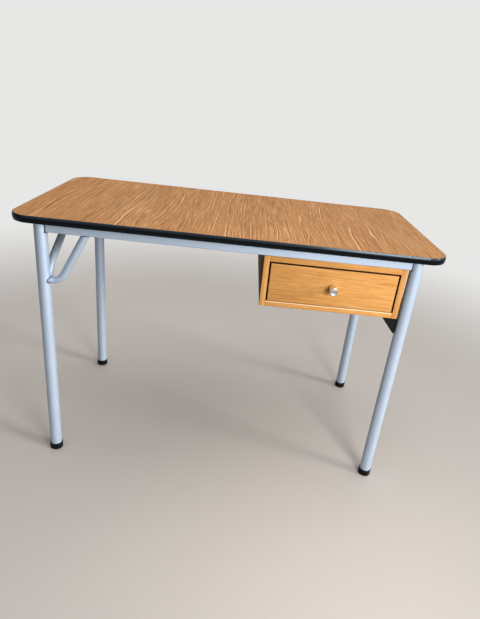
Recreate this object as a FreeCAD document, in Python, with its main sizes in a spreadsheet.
import FreeCAD, Part
import math
import os
import re
import Sketcher

# A teacher's desk: a laminated worktop on a welded tube frame, with one drawer hung under its right half.
# Millimetres. X runs to the right as seen from the front, Y to the back and Z up; the origin is on the
# floor under the middle of the whole desk, its knob included.

Vector = FreeCAD.Vector

doc = FreeCAD.newDocument("teachers_desk")
dims = doc.addObject("Spreadsheet::Sheet", "dims")

DRIVING = {
    # worktop
    "desk_height": 780,
    "top_width": 1200,
    "top_depth": 600,
    "top_thickness": 20,
    "corner_radius": 60,
    "laminate_thickness": 0.8,
    "moulding_thickness": 3,
    "moulding_crown": 2,
    "moulding_round": 0.8,
    "tongue_thickness": 2,
    "tongue_depth": 8,
    # legs, feet and rails
    "leg_diameter": 35,
    "leg_wall": 1.5,
    "leg_inset_side": 82,
    "leg_inset_front": 29,
    "foot_diameter": 40,
    "foot_height": 22,
    "foot_floor": 4,
    "foot_round": 3,
    "foot_rim_round": 1,
    "rail_size": 25,
    "rail_wall": 1.5,
    "rail_round": 2.5,
    "joint_gap": 0.1,
    # braces: the front ones leave the leg level, pressed to an oval there, and bend up to the rail, the side
    # ones stand against the back of the leg and bend away from it
    "brace_diameter": 22,
    "brace_wall": 1.5,
    "front_brace_level": 594,
    "front_brace_knee": 46,
    "front_brace_reach": 121,
    "front_brace_bend": 40,
    "side_brace_level": 577,
    "side_brace_knee": 617,
    "side_brace_reach": 236,
    "side_brace_bend": 70,
    "side_brace_inset": 3,
    "brace_overrun": 1.2,
    "pressed_width": 25,
    "pressed_height": 16,
    "cope_depth": 6,
    # tabs under the worktop
    "tab_size": 25,
    "tab_thickness": 3,
    "tab_round": 4,
    "tab_spread": 280,
    "top_screw_length": 15,
    # drawer box
    "carcass_width": 401,
    "carcass_height": 150,
    "carcass_depth": 566,
    "carcass_right": 493.5,
    "carcass_set_back": 17,
    "panel_thickness": 16,
    "back_thickness": 3,
    "joint_screw_inset": 50,
    "joint_screw_thread": 34,
    "hanging_screw_inset": 40,
    "hanging_screw_length": 22,
    # brackets between the right legs and the drawer box
    "bracket_length": 45,
    "bracket_drop": 51,
    "bracket_plate": 3,
    "bracket_tip": 5,
    "bracket_fold": 2.5,
    "bracket_flange": 25,
    "bracket_screw_offset": 15,
    "bracket_outer_screw": 33,
    "bracket_inner_screw": 56,
    "bracket_screw_length": 14,
    # drawer
    "front_gap_side": 4,
    "front_gap_bottom": 2.5,
    "front_height": 112,
    "front_edge_round": 1,
    "runner_space": 12.5,
    "drawer_panel": 12,
    "drawer_length": 452,
    "drawer_side_height": 88,
    "drawer_lift": 11,
    "drawer_bottom_thickness": 3,
    "drawer_bottom_lift": 6,
    "groove_depth": 5.2,
    "groove_slack": 0.1,
    "dowel_diameter": 6,
    "dowel_low": 28,
    "dowel_high": 73,
    "knob_diameter": 22,
    "knob_length": 30,
    "knob_chamfer": 0.8,
    "knob_rim": 1.8,
    "knob_dish": 0.4,
    # roller runners
    "runner_length": 450,
    "runner_start": 2,
    "runner_sheet": 1.2,
    "runner_lift": 19,
    "channel_height": 17.4,
    "channel_flange": 9.5,
    "ear_length": 23,
    "ear_height": 9.5,
    "ear_middle": 11,
    "seat_flange": 10,
    "track_height": 16.8,
    "track_width": 8.5,
    "roller_diameter": 16.4,
    "roller_width": 7,
    "roller_chamfer": 0.6,
    "roller_recess": 1.8,
    "roller_recess_diameter": 8.6,
    "roller_stand_off": 2.5,
    "front_roller_rise": 0.3,
    "rear_roller_rise": 8.7,
    "pin_diameter": 5,
    "pin_clearance": 0.05,
    "runner_screw_head": 1,
    "drawer_screw_rise": 13,
    "pin_collar": 1,
    "pin_end_play": 0.2,
    "pin_head_gap": 0.3,
    # fasteners: clearance in a hole on the radius, free depth past a tip, and how far an open cut runs out
    "hole_clearance": 0.1,
    "tip_clearance": 0.5,
    "cut_margin": 1,
}
for row, (alias, number) in enumerate(DRIVING.items(), 1):
    dims.set(f"A{row}", alias)
    dims.set(f"B{row}", str(number))
    dims.setAlias(f"B{row}", alias)
doc.recompute()


def cells(expression):
    """The expression with each name in it, but no function, turned into a reference to the sheet."""
    return re.sub(r"\b[a-z]\w*\b(?!\()", lambda name: "dims." + name.group(), str(expression))


def size(expression):
    """The present value of an expression on the sheet's names."""
    return float(dims.evalExpression(cells(expression)))


def bind(item, path, expression):
    item.setExpression(path, cells(expression))


# How near two lengths are to count as equal
NEAR = 1e-3

# The knob reaches past the worktop's front edge, so the whole sits back by half of that.
SHIFT = "((knob_length - carcass_set_back) / 2)"

# Sketches

# Which way each origin plane's normal points along its own axis.
FACING = {"XY_Plane": 1, "XZ_Plane": -1, "YZ_Plane": 1}
sketch_facing = {}


def new_body(label):
    body = doc.addObject("PartDesign::Body", label)
    body.Label = label
    return body


def new_sketch(body, role, lift=None):
    """A sketch on one of the body's origin planes, or lifted along that plane's axis."""
    sketch = body.newObject("Sketcher::SketchObject", body.Name + "_sketch")
    plane = next(item for item in body.Origin.OriginFeatures if item.Role == role)
    sketch.AttachmentSupport = [(plane, "")]
    sketch.MapMode = "FlatFace"
    if lift is not None:
        bind(sketch, "AttachmentOffset.Base.z", f"{FACING[role]} * ({lift})")
    sketch_facing[sketch.Name] = FACING[role]
    return sketch


def dimension(sketch, kind, *places, to):
    index = sketch.addConstraint(Sketcher.Constraint(kind, *places, size(to)))
    bind(sketch, f"Constraints[{index}]", to)


def pin_point(sketch, geometry, end, x, y):
    """Ties one point of a sketch to its two coordinates."""
    dimension(sketch, "DistanceX", -1, 1, geometry, end, to=x)
    dimension(sketch, "DistanceY", -1, 1, geometry, end, to=y)


def polygon(sketch, corners):
    """A closed outline of straight edges; each corner is a pair of expressions."""
    points = [Vector(size(x), size(y), 0) for x, y in corners]
    first = sketch.GeometryCount
    count = len(points)
    for i, point in enumerate(points):
        sketch.addGeometry(Part.LineSegment(point, points[(i + 1) % count]), False)
    for i, (x, y) in enumerate(corners):
        following = first + (i + 1) % count
        sketch.addConstraint(Sketcher.Constraint("Coincident", first + i, 2, following, 1))
        pin_point(sketch, first + i, 1, x, y)


def rectangle(sketch, left, low, right, high):
    polygon(sketch, [(left, low), (right, low), (right, high), (left, high)])


def circle(sketch, x, y, diameter):
    middle = Vector(size(x), size(y), 0)
    index = sketch.addGeometry(Part.Circle(middle, Vector(0, 0, 1), size(diameter) / 2), False)
    pin_point(sketch, index, 3, x, y)
    dimension(sketch, "Diameter", index, to=diameter)


def oval(sketch, width, height):
    """An ellipse about the origin that is wider than it is high."""
    ends = Vector(size(width) / 2, 0, 0), Vector(0, size(height) / 2, 0)
    index = sketch.addGeometry(Part.Ellipse(*ends, Vector(0, 0, 0)), False)
    sketch.exposeInternalGeometry(index)
    pin_point(sketch, index, 3, 0, 0)
    long_axis = index + 1
    short_axis = index + 2
    sketch.addConstraint(Sketcher.Constraint("Horizontal", long_axis))
    dimension(sketch, "Distance", long_axis, to=width)
    dimension(sketch, "Distance", short_axis, to=height)


def rounded_rectangle(sketch, width, depth, radius):
    """A rectangle about the origin with four equal round corners."""
    corner = size(radius)
    first = sketch.GeometryCount
    half_width = f"(({width}) / 2 - ({radius}))"
    half_depth = f"(({depth}) / 2 - ({radius}))"
    signs = [(1, -1), (1, 1), (-1, 1), (-1, -1)]
    centres = [(f"{i} * {half_width}", f"{j} * {half_depth}") for i, j in signs]
    points = [Vector(size(x), size(y), 0) for x, y in centres]
    for turn, point in enumerate(points):
        start = math.pi / 2 * (turn - 1)
        end = start + math.pi / 2
        arc = Part.ArcOfCircle(Part.Circle(point, Vector(0, 0, 1), corner), start, end)
        outwards = Vector(math.cos(end), math.sin(end), 0) * corner
        sketch.addGeometry(arc, False)
        sketch.addGeometry(Part.LineSegment(point + outwards, points[(turn + 1) % 4] + outwards), False)
    for turn, (x, y) in enumerate(centres):
        arc = first + 2 * turn
        side = arc + 1
        next_arc = first + 2 * ((turn + 1) % 4)
        sketch.addConstraint(Sketcher.Constraint("Tangent", arc, 2, side, 1))
        sketch.addConstraint(Sketcher.Constraint("Tangent", side, 2, next_arc, 1))
        pin_point(sketch, arc, 3, x, y)
        dimension(sketch, "Radius", arc, to=radius)


# Features

def pad(body, sketch, length, toward=1, symmetric=False):
    """Thickens a sketch towards +1 or -1 along its plane's axis, or equally to both sides."""
    feature = body.newObject("PartDesign::Pad", body.Name + "_pad")
    feature.Profile = sketch
    feature.SideType = "Symmetric" if symmetric else "One side"
    feature.Reversed = sketch_facing[sketch.Name] * toward < 0
    bind(feature, "Length", length)
    doc.recompute()
    return feature


def pocket(body, sketch, depth, toward=1, symmetric=False):
    """Cuts a sketch into the body towards +1 or -1 along its plane's axis."""
    before = body.Shape.Volume
    feature = body.newObject("PartDesign::Pocket", body.Name + "_pocket")
    feature.Profile = sketch
    feature.SideType = "Symmetric" if symmetric else "One side"
    feature.Reversed = sketch_facing[sketch.Name] * toward > 0
    bind(feature, "Length", depth)
    doc.recompute()
    if body.Shape.Volume >= before:
        raise RuntimeError(f"{body.Label}: a pocket removed nothing")
    return feature


def holes(body, role, places, diameter, depth, toward=1, lift=None):
    """Round holes of one diameter, all bored from one plane."""
    sketch = new_sketch(body, role, lift)
    for x, y in places:
        circle(sketch, x, y, f"{diameter} + 2 * hole_clearance")
    return pocket(body, sketch, depth, toward)


def revolve(body, sketch, axis):
    feature = body.newObject("PartDesign::Revolution", body.Name + "_turned")
    feature.Profile = sketch
    feature.ReferenceAxis = (sketch, [axis])
    feature.Angle = 360
    doc.recompute()
    return feature


def pipe(body, section, path, stretches, end_section=None):
    """Draws a section along some stretches of a path, and towards another section where one is given."""
    feature = body.newObject("PartDesign::AdditivePipe", body.Name + "_pipe")
    feature.Profile = section
    feature.Spine = (path, stretches)
    if end_section is not None:
        feature.Transformation = "Multisection"
        feature.Sections = [end_section]
    doc.recompute()
    return feature


def dress(body, kind, base, amount, wanted):
    """A Fillet or a Chamfer on the edges of the last feature that pass a test."""
    names = [f"Edge{i}" for i, edge in enumerate(base.Shape.Edges, 1) if wanted(edge)]
    feature = body.newObject("PartDesign::" + kind, body.Name + "_" + kind.lower())
    feature.Base = (base, names)
    bind(feature, "Radius" if kind == "Fillet" else "Size", amount)
    doc.recompute()
    return feature


def place(item, x, y, z, turn=0):
    item.Placement.Rotation = FreeCAD.Rotation(Vector(0, 0, 1), turn)
    for axis, expression in zip("xyz", (x, f"{y} + {SHIFT}", z)):
        bind(item, f"Placement.Base.{axis}", expression)


def ring_at(radius, height):
    """Test for a round edge of this radius that lies level at this height."""
    def wanted(edge):
        box = edge.BoundBox
        level = abs(box.ZMin - height) < NEAR and abs(box.ZMax - height) < NEAR
        return level and abs(box.XMax - radius) < NEAR
    return wanted


# Stock fasteners are turned solids, gathered in one group for each use.

def turned(outline):
    """A solid turned about X from the (x, radius) points of its half outline."""
    points = [Vector(x, radius, 0) for x, radius in outline]
    ends = [Vector(points[-1].x, 0, 0), Vector(points[0].x, 0, 0)]
    wire = Part.makePolygon(points + ends + points[:1])
    return Part.Face(wire).revolve(Vector(0, 0, 0), Vector(1, 0, 0), 360)


# A pan head against its shank
HEAD_WIDTH = 1.9
HEAD_HEIGHT = 0.6


def screw(shank, length, head=None, head_height=None):
    """A pan head with its seat at zero, and a shank that ends in a short cone."""
    head = head or HEAD_WIDTH * shank
    head_height = head_height or HEAD_HEIGHT * shank
    cone = shank / 2
    crown = head_height / 3
    return turned([(-head_height, head / 2 - crown), (crown - head_height, head / 2), (0, head / 2),
                   (0, shank / 2), (length - cone, shank / 2), (length, shank / 6)])


def group(label, solid, places):
    """Copies of one fastener; each place is a point and the direction that it points in."""
    copies = []
    back = Vector(0, size(SHIFT), 0)
    for point, direction in places:
        copy = solid.copy()
        copy.Placement = FreeCAD.Placement(point + back, FreeCAD.Rotation(Vector(1, 0, 0), direction))
        copies.append(copy)
    item = doc.addObject("Part::Feature", label)
    item.Label = label
    item.Shape = Part.makeCompound(copies)
    return item


RIGHT = Vector(1, 0, 0)
LEFT = Vector(-1, 0, 0)
BACK = Vector(0, 1, 0)
FRONT = Vector(0, -1, 0)
UP = Vector(0, 0, 1)

# Main levels and lines, as expressions on the sheet's names

UNDERSIDE = "(desk_height - top_thickness)"
RAIL_BOTTOM = f"({UNDERSIDE} - rail_size)"
LEG_X = "(top_width / 2 - leg_inset_side)"
LEG_Y = "(top_depth / 2 - leg_inset_front)"
LEG_SKIN = "(leg_diameter / 2 + joint_gap)"
CORE_WIDTH = "(top_width - 2 * moulding_thickness - 2 * joint_gap)"
CORE_DEPTH = "(top_depth - 2 * moulding_thickness - 2 * joint_gap)"
CORE_RADIUS = "(corner_radius - moulding_thickness - joint_gap)"
CORE_THICKNESS = "(top_thickness - 2 * laminate_thickness)"

# Worktop

TAB_X = f"({LEG_X} - rail_size / 2 - tab_size / 2 - joint_gap)"
TAB_Y = f"({LEG_Y} - rail_size / 2 - tab_size / 2 - joint_gap)"
TABS = {
    "front_left_tab": ("-tab_spread", f"-{TAB_Y}"),
    "front_right_tab": ("tab_spread", f"-{TAB_Y}"),
    "rear_left_tab": ("-tab_spread", TAB_Y),
    "rear_right_tab": ("tab_spread", TAB_Y),
    "left_tab": (f"-{TAB_X}", "0"),
    "right_tab": (TAB_X, "0"),
}
TOP_SCREW = 5


def worktop_layer(label, thickness, lift):
    body = new_body(label)
    sketch = new_sketch(body, "XY_Plane")
    rounded_rectangle(sketch, CORE_WIDTH, CORE_DEPTH, CORE_RADIUS)
    pad(body, sketch, thickness)
    place(body, 0, 0, lift)
    return body


def make_worktop():
    worktop_layer("top_laminate", "laminate_thickness", "desk_height - laminate_thickness")
    backing = worktop_layer("backing_laminate", "laminate_thickness", UNDERSIDE)
    holes(backing, "XY_Plane", TABS.values(), TOP_SCREW, "laminate_thickness")

    core = worktop_layer("top_core", CORE_THICKNESS, f"{UNDERSIDE} + laminate_thickness")
    depth = "top_screw_length + tip_clearance - tab_thickness - laminate_thickness"
    holes(core, "XY_Plane", TABS.values(), TOP_SCREW, depth)
    groove = new_sketch(core, "XY_Plane", f"{CORE_THICKNESS} / 2")
    inset = "(tongue_depth + joint_gap)"
    for out in ("cut_margin", f"-{inset}"):
        rounded_rectangle(groove, f"{CORE_WIDTH} + 2 * ({out})", f"{CORE_DEPTH} + 2 * ({out})",
                          f"{CORE_RADIUS} + ({out})")
    pocket(core, groove, "tongue_thickness + 2 * joint_gap", symmetric=True)


def moulding_section(sketch):
    """A T lying on its side: a crowned face outwards, and a tongue that points in."""
    face = "(-top_depth / 2)"
    rim = f"{face} + moulding_crown"
    inside = f"{face} + moulding_thickness"
    tip = f"{inside} + tongue_depth"
    half = "top_thickness / 2"
    tongue = "tongue_thickness / 2"
    corners = [(rim, f"-{half}"), (inside, f"-{half}"), (inside, f"-{tongue}"), (tip, f"-{tongue}"),
               (tip, tongue), (inside, tongue), (inside, half), (rim, half)]
    points = [Vector(size(x), size(y), 0) for x, y in corners]
    last = len(points) - 1
    for start, end in zip(points, points[1:]):
        sketch.addGeometry(Part.LineSegment(start, end), False)
    crown = Part.Arc(points[last], Vector(size(face), 0, 0), points[0])
    sketch.addGeometry(crown, False)
    for i, (x, y) in enumerate(corners[:-1]):
        sketch.addConstraint(Sketcher.Constraint("Coincident", i, 2, i + 1, 1))
        pin_point(sketch, i, 1, x, y)
    pin_point(sketch, last, 1, *corners[last])
    sketch.addConstraint(Sketcher.Constraint("Coincident", last, 2, 0, 1))
    dimension(sketch, "Radius", last, to=f"(({half})^2 + moulding_crown^2) / (2 * moulding_crown)")


def make_edge_moulding():
    """An extruded T section bent round the worktop, its tongue in the core's groove."""
    body = new_body("edge_moulding")
    path = new_sketch(body, "XY_Plane")
    rounded_rectangle(path, "top_width", "top_depth", "corner_radius")
    section = new_sketch(body, "YZ_Plane", "top_width / 2 - corner_radius")
    moulding_section(section)
    doc.recompute()
    band = pipe(body, section, path, [f"Edge{i}" for i in range(1, path.GeometryCount + 1)])

    half_width = size("top_width") / 2
    half_depth = size("top_depth") / 2
    corner = size("corner_radius")
    inset = size("moulding_crown")

    def outer_rim(edge):
        if edge.BoundBox.ZLength > NEAR:
            return False
        middle = edge.valueAt((edge.FirstParameter + edge.LastParameter) / 2)
        across = max(abs(middle.x) - half_width + corner, 0)
        along = max(abs(middle.y) - half_depth + corner, 0)
        return abs(math.hypot(across, along) - corner + inset) < NEAR

    dress(body, "Fillet", band, "moulding_round", outer_rim)
    place(body, 0, 0, "desk_height - top_thickness / 2")


# Frame

LEGS = {"front_left": (-1, -1), "front_right": (1, -1), "rear_left": (-1, 1), "rear_right": (1, 1)}


def make_leg(name, side, end):
    body = new_body(name + "_leg")
    tube = new_sketch(body, "XY_Plane")
    circle(tube, 0, 0, "leg_diameter")
    circle(tube, 0, 0, "leg_diameter - 2 * leg_wall")
    pad(body, tube, f"{UNDERSIDE} - foot_floor")
    place(body, f"{side} * {LEG_X}", f"{end} * {LEG_Y}", "foot_floor")


def make_foot(name, side, end):
    """A moulded cap pushed over the tube's end, round underneath and at its rim."""
    body = new_body(name + "_foot")
    wall = new_sketch(body, "XZ_Plane")
    outside = "foot_diameter / 2"
    polygon(wall, [(0, 0), (outside, 0), (outside, "foot_height"), (LEG_SKIN, "foot_height"),
                   (LEG_SKIN, "foot_floor"), (0, "foot_floor")])
    cap = revolve(body, wall, "V_Axis")
    cap = dress(body, "Fillet", cap, "foot_round", ring_at(size(outside), 0))
    dress(body, "Fillet", cap, "foot_rim_round", ring_at(size(outside), size("foot_height")))
    place(body, f"{side} * {LEG_X}", f"{end} * {LEG_Y}", 0)


CARCASS_LEFT = "(carcass_right - carcass_width)"
CARCASS_BOTTOM = f"({RAIL_BOTTOM} - carcass_height)"
CARCASS_FRONT = "(carcass_set_back - top_depth / 2)"
HANGING_X = [f"{CARCASS_LEFT} + panel_thickness + hanging_screw_inset",
             "carcass_right - panel_thickness - hanging_screw_inset"]
HANGING_SCREW = 4.2


def rail_section(sketch):
    inner = "(rail_size - 2 * rail_wall)"
    rounded_rectangle(sketch, "rail_size", "rail_size", "rail_round")
    rounded_rectangle(sketch, inner, inner, "rail_round - rail_wall")


def make_long_rail(name, end):
    """Square tube between the two front or the two rear legs, bored where the drawer box hangs."""
    body = new_body(name)
    section = new_sketch(body, "YZ_Plane")
    rail_section(section)
    pad(body, section, f"2 * ({LEG_X} - {LEG_SKIN})", symmetric=True)
    holes(body, "XY_Plane", [(x, 0) for x in HANGING_X], HANGING_SCREW, "rail_size", toward=-1)
    place(body, 0, f"{end} * {LEG_Y}", f"{UNDERSIDE} - rail_size / 2")


def make_side_rail(name, side):
    body = new_body(name)
    section = new_sketch(body, "XZ_Plane")
    rail_section(section)
    pad(body, section, f"2 * ({LEG_Y} - {LEG_SKIN})", symmetric=True)
    place(body, f"{side} * {LEG_X}", 0, f"{UNDERSIDE} - rail_size / 2")


def bent_path(body, start, knee, end, bend):
    """A sketch of two straight lines with one bend between; each point is a pair of expressions."""
    first, corner, last = (Vector(size(x), size(z), 0) for x, z in (start, knee, end))
    radius = size(bend)
    before = (corner - first).normalize()
    after = (last - corner).normalize()
    half_turn = before.getAngle(after) / 2
    leftwards = before.cross(after).z > 0
    bend_start = corner - before * (radius * math.tan(half_turn))
    bend_end = corner + after * (radius * math.tan(half_turn))
    centre = corner + (after - before).normalize() * (radius / math.cos(half_turn))
    opening, closing = (bend_start, bend_end) if leftwards else (bend_end, bend_start)
    angles = [math.atan2(point.y - centre.y, point.x - centre.x) for point in (opening, closing)]
    if angles[1] < angles[0]:
        angles[1] += 2 * math.pi

    path = new_sketch(body, "XZ_Plane")
    path.addGeometry(Part.LineSegment(first, bend_start), False)
    path.addGeometry(Part.ArcOfCircle(Part.Circle(centre, Vector(0, 0, 1), radius), *angles), False)
    path.addGeometry(Part.LineSegment(bend_end, last), False)
    path.addGeometry(Part.LineSegment(first, corner), True)
    path.addGeometry(Part.LineSegment(corner, last), True)
    arc_start, arc_end = (1, 2) if leftwards else (2, 1)
    path.addConstraint(Sketcher.Constraint("Tangent", 0, 2, 1, arc_start))
    path.addConstraint(Sketcher.Constraint("Tangent", 1, arc_end, 2, 1))
    path.addConstraint(Sketcher.Constraint("Coincident", 0, 1, 3, 1))
    path.addConstraint(Sketcher.Constraint("Coincident", 3, 2, 4, 1))
    path.addConstraint(Sketcher.Constraint("Coincident", 2, 2, 4, 2))
    path.addConstraint(Sketcher.Constraint("PointOnObject", 0, 2, 3))
    path.addConstraint(Sketcher.Constraint("PointOnObject", 2, 1, 4))
    dimension(path, "Radius", 1, to=bend)
    pin_point(path, 3, 1, *start)
    pin_point(path, 4, 1, *knee)
    pin_point(path, 4, 2, *end)
    doc.recompute()
    return path


def tube_section(sketch, x, y):
    circle(sketch, x, y, "brace_diameter")
    circle(sketch, x, y, "brace_diameter - 2 * brace_wall")
    doc.recompute()


def section_past_bend(body, knee, end, bend):
    """A round tube section at the end of a bend that starts along X, square to the line that follows."""
    turn = f"atan2({end[1]} - ({knee[1]}); {end[0]} - ({knee[0]}))"
    straight = f"{bend} * tan({turn} / 2)"
    ring = new_sketch(body, "YZ_Plane")
    ring.AttachmentOffset = FreeCAD.Placement(Vector(0, 0, 0), FreeCAD.Rotation(RIGHT, -size(turn)))
    bind(ring, "AttachmentOffset.Rotation.Angle", f"-{turn}")
    bind(ring, "AttachmentOffset.Base.y", f"{knee[1]} + {straight} * sin({turn})")
    bind(ring, "AttachmentOffset.Base.z", f"{knee[0]} + {straight} * cos({turn})")
    tube_section(ring, 0, 0)
    return ring


def trim_under_rail(body, rise, width):
    """Cuts a tube off level, just under the rail that it is welded to."""
    trim = new_sketch(body, "XY_Plane", f"{rise} - joint_gap")
    rectangle(trim, 0, "-brace_diameter", f"{width} + brace_diameter", "brace_diameter")
    pocket(body, trim, rise)


def overrun(knee, end):
    """A point past the end of a straight line, so that the line's end can be cut off level."""
    return tuple(f"({a} + (({b}) - ({a})) * brace_overrun)" for a, b in zip(knee, end))


def make_front_brace(label, end):
    """Leaves the leg level, coped to its round, swells to full round and bends up to the long rail."""
    body = new_body(label)
    rise = f"({RAIL_BOTTOM} - front_brace_level)"
    knee = ("front_brace_knee", "0")
    top = overrun(knee, ("front_brace_reach", rise))
    tube_end = f"({LEG_SKIN} - cope_depth)"
    path = bent_path(body, (tube_end, "0"), knee, top, "front_brace_bend")
    pressed = new_sketch(body, "YZ_Plane", tube_end)
    oval(pressed, "pressed_width", "pressed_height")
    oval(pressed, "pressed_width - 2 * brace_wall", "pressed_height - 2 * brace_wall")
    round_end = section_past_bend(body, knee, top, "front_brace_bend")
    pipe(body, pressed, path, ["Edge1", "Edge2"], round_end)
    pipe(body, round_end, path, ["Edge3"])
    cope = new_sketch(body, "XY_Plane")
    circle(cope, 0, 0, f"2 * {LEG_SKIN}")
    pocket(body, cope, "desk_height", symmetric=True)
    trim_under_rail(body, rise, top[0])
    place(body, f"-{LEG_X}", f"{end} * {LEG_Y}", "front_brace_level")


def make_side_brace(label, side, end):
    """Stands against the leg and bends away from it, up to the side rail."""
    body = new_body(label)
    rise = f"({RAIL_BOTTOM} - side_brace_level)"
    stand = f"({LEG_SKIN} + brace_diameter / 2)"
    knee = (stand, "side_brace_knee - side_brace_level")
    top = overrun(knee, ("side_brace_reach", rise))
    path = bent_path(body, (stand, "0"), knee, top, "side_brace_bend")
    ring = new_sketch(body, "XY_Plane")
    tube_section(ring, stand, "0")
    pipe(body, ring, path, ["Edge1", "Edge2", "Edge3"])
    trim_under_rail(body, rise, top[0])
    place(body, f"{side} * ({LEG_X} - side_brace_inset)", f"{end} * {LEG_Y}", "side_brace_level", -90 * end)


def make_tabs():
    """Small plates welded inside the rails, with a screw through each into the worktop."""
    for label, (x, y) in TABS.items():
        body = new_body(label)
        plate = new_sketch(body, "XY_Plane")
        rounded_rectangle(plate, "tab_size", "tab_size", "tab_round")
        pad(body, plate, "tab_thickness")
        holes(body, "XY_Plane", [(0, 0)], TOP_SCREW, "tab_thickness")
        place(body, x, y, f"{UNDERSIDE} - tab_thickness")
    seat = size(f"{UNDERSIDE} - tab_thickness")
    places = [(Vector(size(x), size(y), seat), UP) for x, y in TABS.values()]
    group("top_screws", screw(TOP_SCREW, size("top_screw_length")), places)


# Drawer box

OPENING_LEFT = f"({CARCASS_LEFT} + panel_thickness)"
OPENING_RIGHT = "(carcass_right - panel_thickness)"
OPENING_WIDTH = "(carcass_width - 2 * panel_thickness)"
OPENING_BOTTOM = f"({CARCASS_BOTTOM} + panel_thickness)"
PANEL_DEPTH = "(carcass_depth - back_thickness)"
JOINT_Y = ["joint_screw_inset", f"{PANEL_DEPTH} - joint_screw_inset"]
JOINT_Z = ["panel_thickness / 2", "carcass_height - panel_thickness / 2"]
JOINT_BODY = 7
JOINT_THREAD = 5
JOINT_HEAD = 10
JOINT_HEAD_HEIGHT = 3
BRACKET_SCREW = 4
RUNNER_SCREW = 3.5
RUNNER_SCREW_HEAD = 5
RUNNER_FRONT = f"({CARCASS_FRONT} + panel_thickness + runner_start)"
RUNNER_FLOOR = f"({OPENING_BOTTOM} + runner_lift)"
RUNNER_SCREW_SHARES = (0.12, 0.5, 0.88)
RUNNER_SCREW_Y = [f"runner_length * {share}" for share in RUNNER_SCREW_SHARES]
CABINET_SCREW_DEPTH = 12
DRAWER_SCREW_DEPTH = 9
BRACKET_Y = f"({LEG_Y} - bracket_screw_offset)"
BRACKET_SIDE_X = f"({LEG_X} - bracket_outer_screw)"
BRACKET_PANEL_X = f"({LEG_X} - bracket_inner_screw)"
BRACKET_ENDS = [f"-{BRACKET_Y} - {CARCASS_FRONT}", f"{BRACKET_Y} - {CARCASS_FRONT}"]


def make_carcass_side(label, left, outer, inner, inwards):
    body = new_body(label)
    panel = new_sketch(body, "YZ_Plane")
    rectangle(panel, 0, 0, PANEL_DEPTH, "carcass_height")
    pad(body, panel, "panel_thickness")
    joints = [(y, z) for y in JOINT_Y for z in JOINT_Z]
    holes(body, "YZ_Plane", joints, JOINT_BODY, "panel_thickness")
    holes(body, "YZ_Plane", joints, JOINT_HEAD, JOINT_HEAD_HEIGHT, inwards, outer)
    rise = f"{RUNNER_FLOOR} + channel_height / 2 - {CARCASS_BOTTOM}"
    runner = [(f"{RUNNER_FRONT} - {CARCASS_FRONT} + {y}", rise) for y in RUNNER_SCREW_Y]
    holes(body, "YZ_Plane", runner, RUNNER_SCREW, CABINET_SCREW_DEPTH, -inwards, inner)
    place(body, left, CARCASS_FRONT, CARCASS_BOTTOM)
    return body


def make_carcass_shelf(label, level):
    """A panel between the two sides, bored in both ends for the joint screws."""
    body = new_body(label)
    panel = new_sketch(body, "XY_Plane")
    rectangle(panel, 0, 0, OPENING_WIDTH, PANEL_DEPTH)
    pad(body, panel, "panel_thickness")
    ends = [(y, "panel_thickness / 2") for y in JOINT_Y]
    depth = "joint_screw_thread + tip_clearance"
    holes(body, "YZ_Plane", ends, JOINT_THREAD, depth)
    holes(body, "YZ_Plane", ends, JOINT_THREAD, depth, -1, OPENING_WIDTH)
    place(body, OPENING_LEFT, CARCASS_FRONT, level)
    return body


def make_carcass():
    make_carcass_side("carcass_left_side", CARCASS_LEFT, 0, "panel_thickness", 1)
    right = make_carcass_side("carcass_right_side", OPENING_RIGHT, "panel_thickness", 0, -1)
    edge = [(f"{BRACKET_SIDE_X} - {OPENING_RIGHT}", y) for y in BRACKET_ENDS]
    bracket_bore = "bracket_screw_length + tip_clearance - bracket_plate"
    holes(right, "XY_Plane", edge, BRACKET_SCREW, bracket_bore)

    top = make_carcass_shelf("carcass_top", f"{RAIL_BOTTOM} - panel_thickness")
    hangers = [(f"{x} - {OPENING_LEFT}", f"{end} * {LEG_Y} - {CARCASS_FRONT}")
               for x in HANGING_X for end in (-1, 1)]
    holes(top, "XY_Plane", hangers, HANGING_SCREW, "panel_thickness")
    bottom = make_carcass_shelf("carcass_bottom", CARCASS_BOTTOM)
    under = [(f"{BRACKET_PANEL_X} - {OPENING_LEFT}", y) for y in BRACKET_ENDS]
    holes(bottom, "XY_Plane", under, BRACKET_SCREW, bracket_bore)

    back = new_body("carcass_back")
    sheet = new_sketch(back, "XZ_Plane")
    rectangle(sheet, 0, 0, "carcass_width", "carcass_height")
    pad(back, sheet, "back_thickness")
    place(back, CARCASS_LEFT, f"{CARCASS_FRONT} + {PANEL_DEPTH}", CARCASS_BOTTOM)

    board = size("panel_thickness")
    tip = board + size("joint_screw_thread")
    joint = turned([(0, JOINT_HEAD / 2), (JOINT_HEAD_HEIGHT, JOINT_HEAD / 2),
                    (JOINT_HEAD_HEIGHT, JOINT_BODY / 2), (board, JOINT_BODY / 2),
                    (board, JOINT_THREAD / 2), (tip, JOINT_THREAD / 2)])
    joint_places = []
    for y in JOINT_Y:
        for z in JOINT_Z:
            across = size(f"{CARCASS_FRONT} + {y}")
            level = size(f"{CARCASS_BOTTOM} + {z}")
            joint_places.append((Vector(size(CARCASS_LEFT), across, level), RIGHT))
            joint_places.append((Vector(size("carcass_right"), across, level), LEFT))
    group("carcass_screws", joint, joint_places)

    ceiling = size(f"{RAIL_BOTTOM} - panel_thickness")
    hanging_places = [(Vector(size(x), end * size(LEG_Y), ceiling), UP)
                      for x in HANGING_X for end in (-1, 1)]
    group("hanging_screws", screw(HANGING_SCREW, size("hanging_screw_length")), hanging_places)


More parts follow.
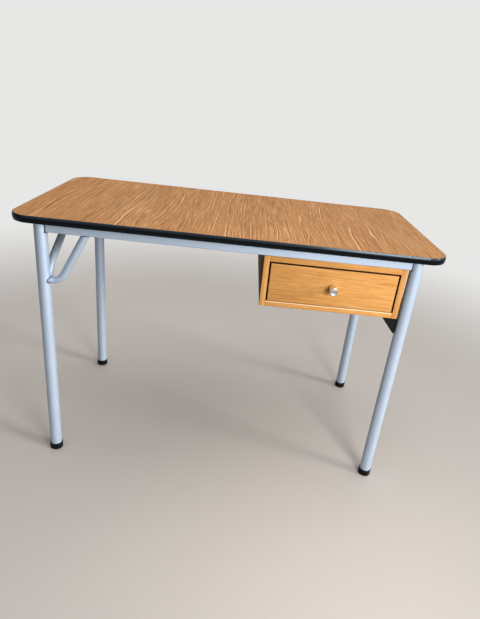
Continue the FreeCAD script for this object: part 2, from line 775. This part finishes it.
def make_bracket(label, end):
    """A folded plate: a triangle welded to the leg and a flange screwed under the drawer box."""
    body = new_body(label)
    tip = f"-({LEG_SKIN} + bracket_length)"
    web = new_sketch(body, "XZ_Plane")
    polygon(web, [(tip, 0), (f"-{LEG_SKIN}", 0), (f"-{LEG_SKIN}", "-bracket_drop"),
                  (f"-{LEG_SKIN} - bracket_tip", "-bracket_drop"), (tip, "-bracket_tip")])
    pad(body, web, "bracket_plate", symmetric=True)
    flange = new_sketch(body, "XY_Plane")
    rectangle(flange, tip, f"{-end} * bracket_plate / 2", "-leg_diameter / 2 - bracket_plate",
              f"{-end} * bracket_flange")
    folded = pad(body, flange, "bracket_plate", toward=-1)

    def outer_fold(edge):
        box = edge.BoundBox
        outside = end * size("bracket_plate") / 2
        return max(abs(box.YMin - outside), abs(box.YMax - outside), abs(box.ZMin), abs(box.ZMax)) < NEAR

    dress(body, "Fillet", folded, "bracket_fold", outer_fold)
    bores = [(f"-{x}", f"{-end} * bracket_screw_offset")
             for x in ("bracket_outer_screw", "bracket_inner_screw")]
    holes(body, "XY_Plane", bores, BRACKET_SCREW, "bracket_plate", toward=-1)
    place(body, LEG_X, f"{end} * {LEG_Y}", CARCASS_BOTTOM)


def make_bracket_screws():
    seat = size(f"{CARCASS_BOTTOM} - bracket_plate")
    places = [(Vector(size(x), end * size(BRACKET_Y), seat), UP)
              for x in (BRACKET_SIDE_X, BRACKET_PANEL_X) for end in (-1, 1)]
    group("bracket_screws", screw(BRACKET_SCREW, size("bracket_screw_length")), places)


# Drawer

FRONT_LEFT = f"({OPENING_LEFT} + front_gap_side)"
FRONT_WIDTH = f"({OPENING_WIDTH} - 2 * front_gap_side)"
FRONT_BOTTOM = f"({OPENING_BOTTOM} + front_gap_bottom)"
BOX_LEFT = f"({OPENING_LEFT} + runner_space)"
BOX_RIGHT = f"({OPENING_RIGHT} - runner_space)"
BOX_FRONT = f"({CARCASS_FRONT} + panel_thickness)"
BOX_BOTTOM = f"({OPENING_BOTTOM} + drawer_lift)"
INNER_WIDTH = f"({BOX_RIGHT} - {BOX_LEFT} - 2 * drawer_panel)"
GROOVE_LOW = "(drawer_bottom_lift - groove_slack)"
GROOVE_HIGH = "(drawer_bottom_lift + drawer_bottom_thickness + groove_slack)"
DOWEL_LEVELS = ("dowel_low", "dowel_high")
DOWEL_IN_FRONT = 10
DOWEL_IN_SIDE = 8
DOWEL_LENGTH = 24
DOWEL_CHAMFER = 0.8
KNOB_SCREW = 4
KNOB_SCREW_GRIP = 11


def make_drawer_side(label, left, outer, inner, inwards):
    body = new_body(label)
    panel = new_sketch(body, "YZ_Plane")
    rectangle(panel, 0, 0, "drawer_length", "drawer_side_height")
    pad(body, panel, "drawer_panel")
    groove = new_sketch(body, "YZ_Plane", inner)
    rectangle(groove, 0, GROOVE_LOW, "drawer_length", GROOVE_HIGH)
    pocket(body, groove, "groove_depth", -inwards)
    front_end = [("drawer_panel / 2", z) for z in DOWEL_LEVELS]
    depth = f"{DOWEL_LENGTH - DOWEL_IN_FRONT} + tip_clearance"
    holes(body, "XZ_Plane", front_end, "dowel_diameter", depth)
    back_end = [("drawer_length - drawer_panel / 2", z) for z in DOWEL_LEVELS]
    depth = f"{DOWEL_IN_SIDE} + tip_clearance"
    holes(body, "YZ_Plane", back_end, "dowel_diameter", depth, -inwards, inner)
    screws = [(f"runner_start + {y}", "drawer_screw_rise") for y in RUNNER_SCREW_Y]
    holes(body, "YZ_Plane", screws, RUNNER_SCREW, DRAWER_SCREW_DEPTH, inwards, outer)
    place(body, left, BOX_FRONT, BOX_BOTTOM)


def make_drawer_front():
    body = new_body("drawer_front")
    panel = new_sketch(body, "XZ_Plane")
    rectangle(panel, 0, 0, FRONT_WIDTH, "front_height")
    board = pad(body, panel, "panel_thickness")
    dress(body, "Fillet", board, "front_edge_round", lambda edge: abs(edge.BoundBox.YMax) < NEAR)
    shift = f"({BOX_BOTTOM} - {FRONT_BOTTOM})"
    first = f"({BOX_LEFT} + drawer_panel - groove_depth - {FRONT_LEFT})"
    groove = new_sketch(body, "XZ_Plane", "panel_thickness")
    rectangle(groove, first, f"{shift} + {GROOVE_LOW}", f"{FRONT_WIDTH} - {first}",
              f"{shift} + {GROOVE_HIGH}")
    pocket(body, groove, "groove_depth", toward=-1)
    dowel_x = [f"{BOX_LEFT} + drawer_panel / 2 - {FRONT_LEFT}",
               f"{BOX_RIGHT} - drawer_panel / 2 - {FRONT_LEFT}"]
    dowels = [(x, f"{shift} + {z}") for x in dowel_x for z in DOWEL_LEVELS]
    depth = f"{DOWEL_IN_FRONT} + tip_clearance"
    holes(body, "XZ_Plane", dowels, "dowel_diameter", depth, -1, "panel_thickness")
    middle = [(f"{FRONT_WIDTH} / 2", "front_height / 2")]
    holes(body, "XZ_Plane", middle, KNOB_SCREW, "panel_thickness")
    place(body, FRONT_LEFT, CARCASS_FRONT, FRONT_BOTTOM)


def make_drawer_back():
    body = new_body("drawer_back")
    panel = new_sketch(body, "XZ_Plane")
    height = f"drawer_side_height - {GROOVE_HIGH}"
    rectangle(panel, 0, 0, INNER_WIDTH, height)
    pad(body, panel, "drawer_panel")
    ends = [("drawer_panel / 2", f"{z} - {GROOVE_HIGH}") for z in DOWEL_LEVELS]
    depth = f"{DOWEL_LENGTH - DOWEL_IN_SIDE} + tip_clearance"
    holes(body, "YZ_Plane", ends, "dowel_diameter", depth)
    holes(body, "YZ_Plane", ends, "dowel_diameter", depth, -1, INNER_WIDTH)
    place(body, f"{BOX_LEFT} + drawer_panel", f"{BOX_FRONT} + drawer_length - drawer_panel",
          f"{BOX_BOTTOM} + {GROOVE_HIGH}")


def make_drawer_bottom():
    """A thin sheet in the grooves of the sides and the front, run under the back."""
    body = new_body("drawer_bottom")
    tongue = "(groove_depth - 2 * groove_slack)"
    sheet = new_sketch(body, "XY_Plane")
    rectangle(sheet, 0, 0, f"{INNER_WIDTH} + 2 * {tongue}", f"drawer_length + {tongue}")
    pad(body, sheet, "drawer_bottom_thickness")
    place(body, f"{BOX_LEFT} + drawer_panel - {tongue}", f"{BOX_FRONT} - {tongue}",
          f"{BOX_BOTTOM} + drawer_bottom_lift")


def make_dowels():
    radius = size("dowel_diameter") / 2
    peg = turned([(0, radius - DOWEL_CHAMFER), (DOWEL_CHAMFER, radius),
                  (DOWEL_LENGTH - DOWEL_CHAMFER, radius), (DOWEL_LENGTH, radius - DOWEL_CHAMFER)])
    places = []
    for z in DOWEL_LEVELS:
        level = size(f"{BOX_BOTTOM} + {z}")
        start = size(BOX_FRONT) - DOWEL_IN_FRONT
        rear = size(f"{BOX_FRONT} + drawer_length - drawer_panel / 2")
        half = size("drawer_panel") / 2
        inner = size("drawer_panel") - DOWEL_IN_SIDE
        places.append((Vector(size(BOX_LEFT) + half, start, level), BACK))
        places.append((Vector(size(BOX_RIGHT) - half, start, level), BACK))
        places.append((Vector(size(BOX_LEFT) + inner, rear, level), RIGHT))
        places.append((Vector(size(BOX_RIGHT) - inner, rear, level), LEFT))
    group("drawer_dowels", peg, places)


KNOB_X = f"({FRONT_LEFT} + {FRONT_WIDTH} / 2)"
KNOB_Z = f"({FRONT_BOTTOM} + front_height / 2)"


def make_knob():
    """A turned cylinder with a tapped hole in its base and a rim with broken edges round its dished face."""
    body = new_body("knob")
    half = new_sketch(body, "XY_Plane")
    bore = f"({KNOB_SCREW} / 2 + hole_clearance)"
    outside = "knob_diameter / 2"
    bottom = f"-({KNOB_SCREW_GRIP} + tip_clearance)"
    dish = "knob_dish - knob_length"
    polygon(half, [(bore, 0), (outside, 0), (outside, "knob_chamfer - knob_length"),
                   (f"{outside} - knob_chamfer", "-knob_length"), (f"{outside} - knob_rim", "-knob_length"),
                   (f"{outside} - knob_rim - knob_dish", dish), (0, dish), (0, bottom), (bore, bottom)])
    revolve(body, half, "V_Axis")
    place(body, KNOB_X, CARCASS_FRONT, KNOB_Z)
    length = size("panel_thickness") + KNOB_SCREW_GRIP
    seat = Vector(size(KNOB_X), size(BOX_FRONT), size(KNOB_Z))
    group("knob_screw", screw(KNOB_SCREW, length), [(seat, FRONT)])


# Roller runners: each profile is folded sheet, and where its running flange stops, the unfolded strip
# stands as an ear that carries the roller's pin.

REAR_PIN = "(runner_length - ear_middle)"
DRAWER_PIN_RISE = f"({RUNNER_FLOOR} + rear_roller_rise - {BOX_BOTTOM})"


def make_cabinet_runner(label, left, inwards):
    body = new_body(label)

    def across(amount):
        return f"{inwards} * ({amount})"

    sheet = "runner_sheet"
    channel = new_sketch(body, "XZ_Plane")
    polygon(channel, [(0, f"-{sheet}"), (across("channel_flange"), f"-{sheet}"),
                      (across("channel_flange"), 0), (across(sheet), 0), (across(sheet), "channel_height"),
                      (across("channel_flange"), "channel_height"),
                      (across("channel_flange"), f"channel_height + {sheet}"),
                      (0, f"channel_height + {sheet}")])
    pad(body, channel, "runner_length")
    notch = new_sketch(body, "XY_Plane")
    rectangle(notch, across(sheet), 0, across("channel_flange + cut_margin"), "ear_length")
    pocket(body, notch, sheet, toward=-1)
    ear = new_sketch(body, "YZ_Plane")
    rectangle(ear, 0, "-ear_height", "ear_length", 0)
    pad(body, ear, sheet, toward=inwards)
    stop = new_sketch(body, "XZ_Plane", "runner_length")
    rectangle(stop, across(sheet), 0, across("channel_flange"), "channel_height / 2")
    pad(body, stop, sheet, toward=-1)
    holes(body, "YZ_Plane", [("ear_middle", "front_roller_rise")], "pin_diameter", sheet, inwards)
    screws = [(y, "channel_height / 2") for y in RUNNER_SCREW_Y]
    holes(body, "YZ_Plane", screws, RUNNER_SCREW, sheet, inwards)
    place(body, left, RUNNER_FRONT, RUNNER_FLOOR)


def make_drawer_runner(label, left, inwards):
    body = new_body(label)

    def across(amount):
        return f"{inwards} * ({amount})"

    sheet = "runner_sheet"
    track_top = f"(track_height + {sheet})"
    profile = new_sketch(body, "XZ_Plane")
    polygon(profile, [(across(f"-{sheet}"), f"-{sheet}"), (across("seat_flange"), f"-{sheet}"),
                      (across("seat_flange"), 0), (0, 0), (0, track_top),
                      (across(f"-{sheet} - track_width"), track_top),
                      (across(f"-{sheet} - track_width"), "track_height"),
                      (across(f"-{sheet}"), "track_height")])
    pad(body, profile, "runner_length")
    notch = new_sketch(body, "XY_Plane", "track_height")
    rectangle(notch, across(f"-{sheet} - track_width - cut_margin"), "runner_length - ear_length",
              across(f"-{sheet}"), "runner_length")
    pocket(body, notch, sheet)
    ear = new_sketch(body, "YZ_Plane")
    rectangle(ear, "runner_length - ear_length", "track_height", "runner_length",
              "track_height + ear_height")
    pad(body, ear, sheet, toward=-inwards)
    holes(body, "YZ_Plane", [(REAR_PIN, DRAWER_PIN_RISE)], "pin_diameter", sheet, -inwards)
    screws = [(y, "drawer_screw_rise") for y in RUNNER_SCREW_Y]
    holes(body, "YZ_Plane", screws, RUNNER_SCREW, sheet, -inwards)
    place(body, left, RUNNER_FRONT, BOX_BOTTOM)


FRONT_AXLE = (f"{RUNNER_FRONT} + ear_middle", f"{RUNNER_FLOOR} + front_roller_rise")
REAR_AXLE = (f"{RUNNER_FRONT} + {REAR_PIN}", f"{RUNNER_FLOOR} + rear_roller_rise")
ROLLERS = {
    "left_front_roller": (OPENING_LEFT, FRONT_AXLE, RIGHT),
    "right_front_roller": (OPENING_RIGHT, FRONT_AXLE, LEFT),
    "left_rear_roller": (BOX_LEFT, REAR_AXLE, LEFT),
    "right_rear_roller": (BOX_RIGHT, REAR_AXLE, RIGHT),
}


def make_roller(label, wall, axle, direction):
    """A nylon wheel with chamfered rims and a recess that takes the pin's head."""
    body = new_body(label)
    half = new_sketch(body, "XY_Plane")
    bore = "pin_diameter / 2 + pin_clearance"
    rim = "roller_diameter / 2"
    near = "roller_stand_off"
    far = "(roller_stand_off + roller_width)"
    recess = f"{far} - roller_recess"
    recess_radius = "roller_recess_diameter / 2"
    polygon(half, [(near, bore), (near, f"{rim} - roller_chamfer"), (f"{near} + roller_chamfer", rim),
                   (f"{far} - roller_chamfer", rim), (far, f"{rim} - roller_chamfer"), (far, recess_radius),
                   (recess, recess_radius), (recess, bore)])
    revolve(body, half, "H_Axis")
    place(body, wall, *axle, turn=0 if direction == RIGHT else 180)


def make_pins(label, end):
    """Riveted pins: a shank through the sheet, a collar behind the roller and a head in its recess."""
    sheet = size("runner_sheet")
    shank = size("pin_diameter") / 2
    collar = shank + size("pin_collar")
    collar_end = size("roller_stand_off - pin_end_play")
    head_start = size("roller_stand_off + roller_width - roller_recess + pin_end_play")
    head_end = size("roller_stand_off + roller_width - pin_head_gap")
    head = size("roller_recess_diameter / 2 - pin_head_gap")
    pin = turned([(0, shank), (sheet, shank), (sheet, collar), (collar_end, collar), (collar_end, shank),
                  (head_start, shank), (head_start, head), (head_end, head)])
    places = []
    for name, (wall, axle, direction) in ROLLERS.items():
        if end in name:
            places.append((Vector(size(wall), size(axle[0]), size(axle[1])), direction))
    group(label, pin, places)


def make_runner_screws():
    sheet = size("runner_sheet")
    head = size("runner_screw_head")
    cabinet = []
    drawer = []
    for y in RUNNER_SCREW_Y:
        along = size(f"{RUNNER_FRONT} + {y}")
        cabinet_level = size(f"{RUNNER_FLOOR} + channel_height / 2")
        drawer_level = size(f"{BOX_BOTTOM} + drawer_screw_rise")
        cabinet.append((Vector(size(OPENING_LEFT) + sheet, along, cabinet_level), LEFT))
        cabinet.append((Vector(size(OPENING_RIGHT) - sheet, along, cabinet_level), RIGHT))
        drawer.append((Vector(size(BOX_LEFT) - sheet, along, drawer_level), RIGHT))
        drawer.append((Vector(size(BOX_RIGHT) + sheet, along, drawer_level), LEFT))
    cabinet_screw = screw(RUNNER_SCREW, CABINET_SCREW_DEPTH, RUNNER_SCREW_HEAD, head)
    drawer_screw = screw(RUNNER_SCREW, DRAWER_SCREW_DEPTH, RUNNER_SCREW_HEAD, head)
    group("cabinet_runner_screws", cabinet_screw, cabinet)
    group("drawer_runner_screws", drawer_screw, drawer)


# Assembly

make_worktop()
make_edge_moulding()
for leg_name, (leg_side, leg_end) in LEGS.items():
    make_leg(leg_name, leg_side, leg_end)
    make_foot(leg_name, leg_side, leg_end)
make_long_rail("front_rail", -1)
make_long_rail("rear_rail", 1)
make_side_rail("left_rail", -1)
make_side_rail("right_rail", 1)
make_front_brace("front_left_brace", -1)
make_front_brace("rear_left_brace", 1)
make_side_brace("left_front_brace", -1, -1)
make_side_brace("left_rear_brace", -1, 1)
make_side_brace("right_front_brace", 1, -1)
make_side_brace("right_rear_brace", 1, 1)
make_tabs()
make_carcass()
make_bracket("front_bracket", -1)
make_bracket("rear_bracket", 1)
make_bracket_screws()
make_drawer_side("drawer_left_side", BOX_LEFT, 0, "drawer_panel", 1)
make_drawer_side("drawer_right_side", f"{BOX_RIGHT} - drawer_panel", "drawer_panel", 0, -1)
make_drawer_front()
make_drawer_back()
make_drawer_bottom()
make_dowels()
make_knob()
make_cabinet_runner("left_cabinet_runner", OPENING_LEFT, 1)
make_cabinet_runner("right_cabinet_runner", OPENING_RIGHT, -1)
make_drawer_runner("left_drawer_runner", BOX_LEFT, 1)
make_drawer_runner("right_drawer_runner", BOX_RIGHT, -1)
for roller_label, roller_place in ROLLERS.items():
    make_roller(roller_label, *roller_place)
make_pins("front_roller_pins", "front")
make_pins("rear_roller_pins", "rear")
make_runner_screws()
doc.recompute()

# Checks and export

failed = [item.Label for item in doc.Objects if {"Invalid", "Error"} & set(item.State)]
pieces = [item for item in doc.Objects if item.TypeId in ("PartDesign::Body", "Part::Feature")]
failed += [item.Label for item in pieces if item.Shape.isNull() or not item.Shape.isValid()]
if failed:
    raise RuntimeError("failed objects: " + ", ".join(failed))

os.makedirs("parts", exist_ok=True)
for item in pieces:
    item.Shape.exportStep(f"parts/{item.Label}.step")
print(f"{len(pieces)} pieces written")
